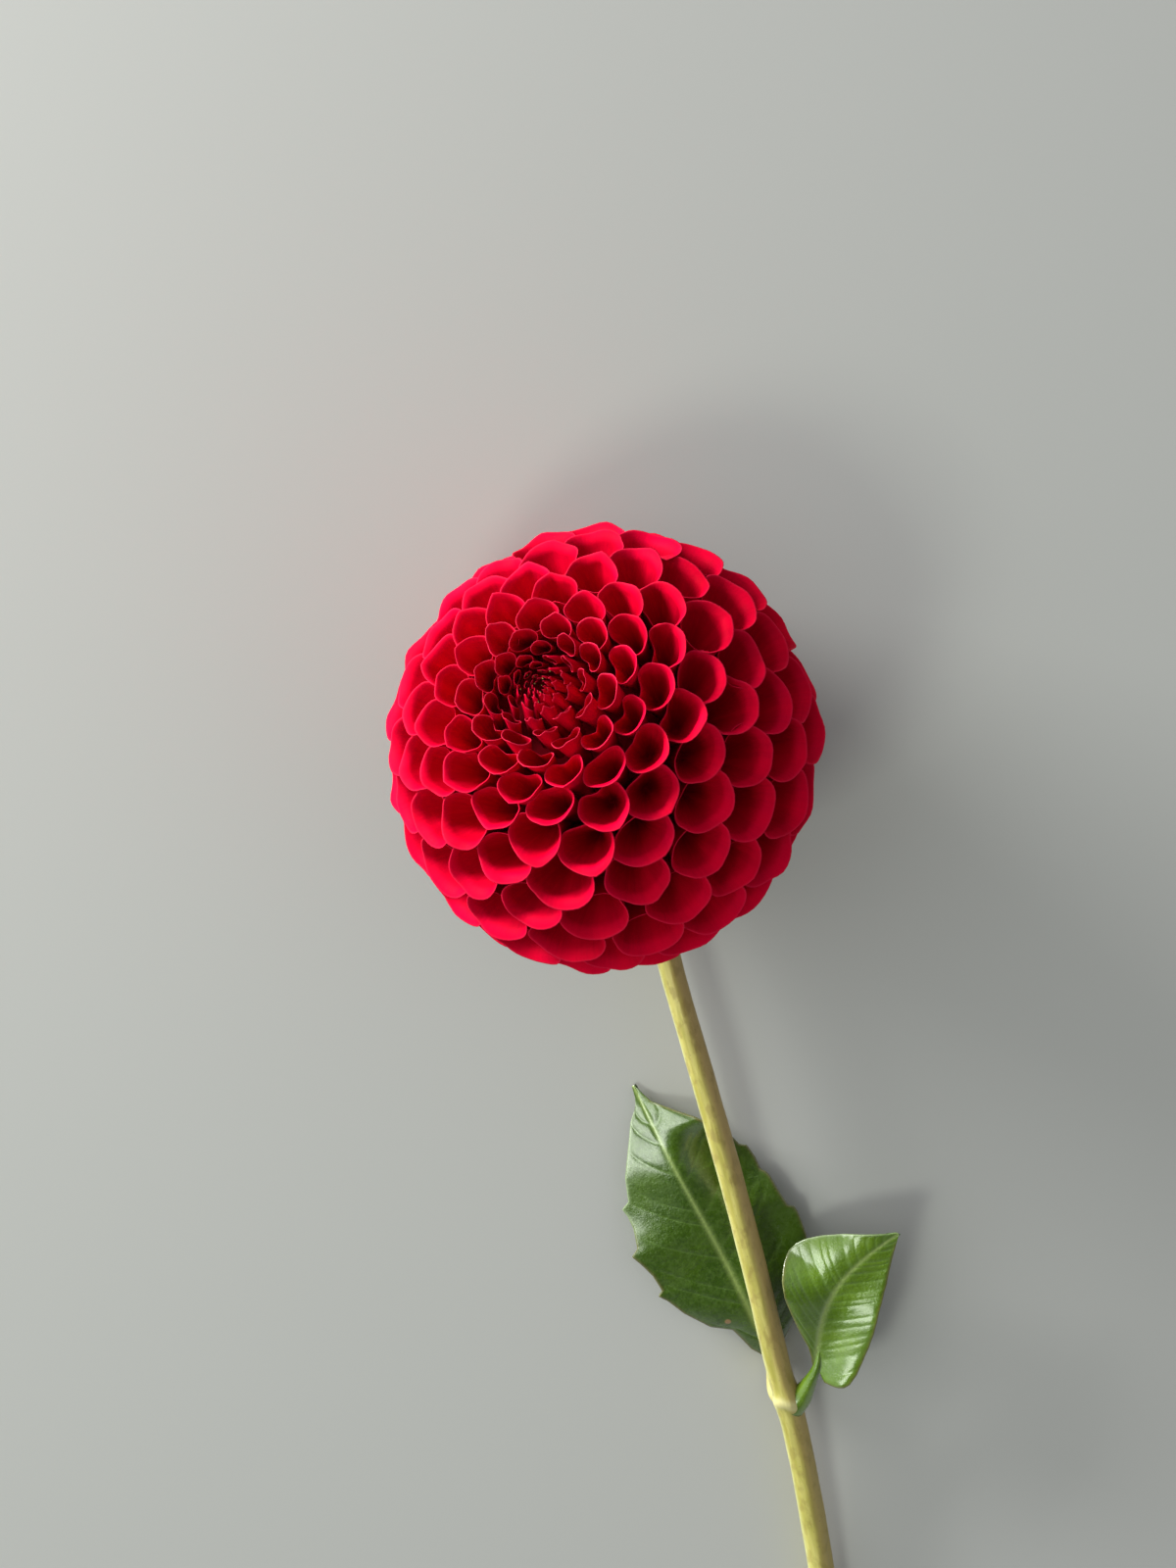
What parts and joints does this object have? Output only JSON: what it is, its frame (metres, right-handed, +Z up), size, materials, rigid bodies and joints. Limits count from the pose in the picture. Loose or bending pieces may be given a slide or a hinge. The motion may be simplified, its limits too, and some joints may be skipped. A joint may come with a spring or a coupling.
{
  "type": "pompon dahlia flower",
  "caption": "Cut pompon dahlia lying on its side: a red ball of cupped florets on a slim bent stem with a large and a small leaf.",
  "frame": {"origin": "bottom centre of the bounding box, on the surface that the flower lies on", "axes": "+Z up from the surface, +Y along the stem toward the bloom, +X to the right seen from above with the bloom at the top"},
  "size_m": [0.0526, 0.1903, 0.0472],
  "materials": {
    "petal": "soft",
    "bract": "satin",
    "stem": "satin",
    "leaf": "satin"
  },
  "bodies": {
    "root": {"bloom": "petal", "calyx": "bract", "stem": "stem", "leaf_large": "leaf", "leaf_small": "leaf"}
  },
  "joints": []
}
